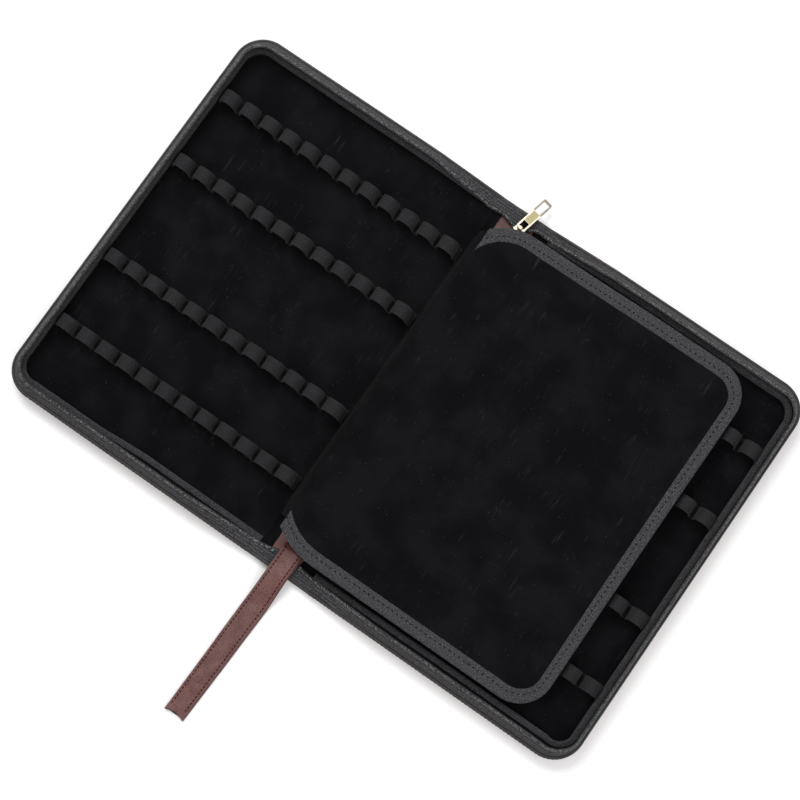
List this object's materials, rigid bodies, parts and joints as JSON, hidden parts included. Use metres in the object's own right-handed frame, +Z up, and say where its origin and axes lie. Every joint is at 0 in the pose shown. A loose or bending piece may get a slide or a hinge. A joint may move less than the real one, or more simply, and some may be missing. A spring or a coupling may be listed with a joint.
{
  "type": "zip-around pen case",
  "caption": "Flat zip-around leather pen case, open, with rows of elastic pen loops, a hinged divider leaf, a zip slider with pull and a leather strap.",
  "frame": {"origin": "middle of the spine's underside, on the surface that the open case lies on", "axes": "+X across both halves towards the half under the leaf, +Y along the spine towards the zip slider, +Z up"},
  "size_m": [0.508, 0.4733, 0.0214],
  "materials": {
    "brown_leather": "semi-matt, fine grain",
    "strap_leather": "semi-matt, folded edges",
    "black_velvet": "short pile, matt",
    "grey_tape": "ribbed weave, matt",
    "elastic": "ribbed elastic, matt",
    "zip_coil": "fine nylon coil",
    "board": "matt fibre board",
    "pale_brass": "polished, pale gold"
  },
  "bodies": {
    "right_half": {"right_cover": "brown_leather", "right_board": "board", "right_lining": "black_velvet", "right_wall_pad": "black_velvet", "right_pad_binding": "grey_tape", "right_zip_tape": "grey_tape", "right_zip_coil": "zip_coil", "right_upper_row_top_band": "elastic", "right_upper_row_bottom_band": "elastic", "right_lower_row_top_band": "elastic", "right_lower_row_bottom_band": "elastic", "right_fold_leather": "brown_leather"},
    "spine": {"spine_leather": "brown_leather", "spine_board": "board", "spine_lining": "brown_leather", "left_fold_leather": "brown_leather", "spine_top_tape": "grey_tape", "spine_bottom_tape": "grey_tape", "spine_top_coils": "zip_coil", "spine_bottom_coils": "zip_coil", "zip_slider": "pale_brass", "slider_bridge": "pale_brass", "zip_end_stop": "pale_brass", "zip_top_stops": "pale_brass", "strap_root": "strap_leather"},
    "left_half": {"left_cover": "brown_leather", "left_board": "board", "left_lining": "black_velvet", "left_wall_pad": "black_velvet", "left_pad_binding": "grey_tape", "left_zip_tape": "grey_tape", "left_zip_coil": "zip_coil", "left_upper_row_top_band": "elastic", "left_upper_row_bottom_band": "elastic", "left_lower_row_top_band": "elastic", "left_lower_row_bottom_band": "elastic"},
    "leaf": {"leaf_board": "board", "leaf_upper_velvet": "black_velvet", "leaf_lower_velvet": "black_velvet", "leaf_binding": "grey_tape"},
    "leaf_flap": {"leaf_hinge_flap": "black_velvet"},
    "zip_pull": {"pull_tab": "pale_brass"},
    "hand_strap": {"strap_lower_ply": "strap_leather", "strap_upper_ply": "strap_leather"}
  },
  "joints": [
    {"name": "spine_fold", "type": "hinge", "parent": "right_half", "child": "spine", "pos_m": [0.02, 0, 0], "axis": [0, 1, 0], "range_deg": [0, 90], "deforming": ["right_fold_leather"]},
    {"name": "left_fold", "type": "hinge", "parent": "spine", "child": "left_half", "pos_m": [-0.02, 0, 0], "axis": [0, 1, 0], "range_deg": [0, 90], "deforming": ["left_fold_leather"]},
    {"name": "leaf_turn", "type": "hinge", "parent": "left_half", "child": "leaf", "pos_m": [-0.0194, 0, 0.02], "axis": [0, 1, 0], "range_deg": [-180, 0]},
    {"name": "flap_turn", "type": "hinge", "parent": "left_half", "child": "leaf_flap", "pos_m": [-0.0238, 0, 0.0041], "axis": [0, 1, 0], "range_deg": [-31, 0]},
    {"name": "pull_swing", "type": "hinge", "parent": "spine", "child": "zip_pull", "pos_m": [0.00119, 0.15166, 0.00845], "axis": [0.9744, -0.225, 0], "range_deg": [0, 60]},
    {"name": "strap_swing", "type": "hinge", "parent": "spine", "child": "hand_strap", "pos_m": [0.001, -0.1658, 0.0079], "axis": [-1, 0, 0], "range_deg": [0, 90]}
  ],
  "couplings": [
    {"joint": "left_fold", "follows": "spine_fold", "ratio": 1},
    {"joint": "leaf_turn", "follows": "spine_fold", "ratio": -2},
    {"joint": "flap_turn", "follows": "spine_fold", "ratio": -0.34444}
  ]
}
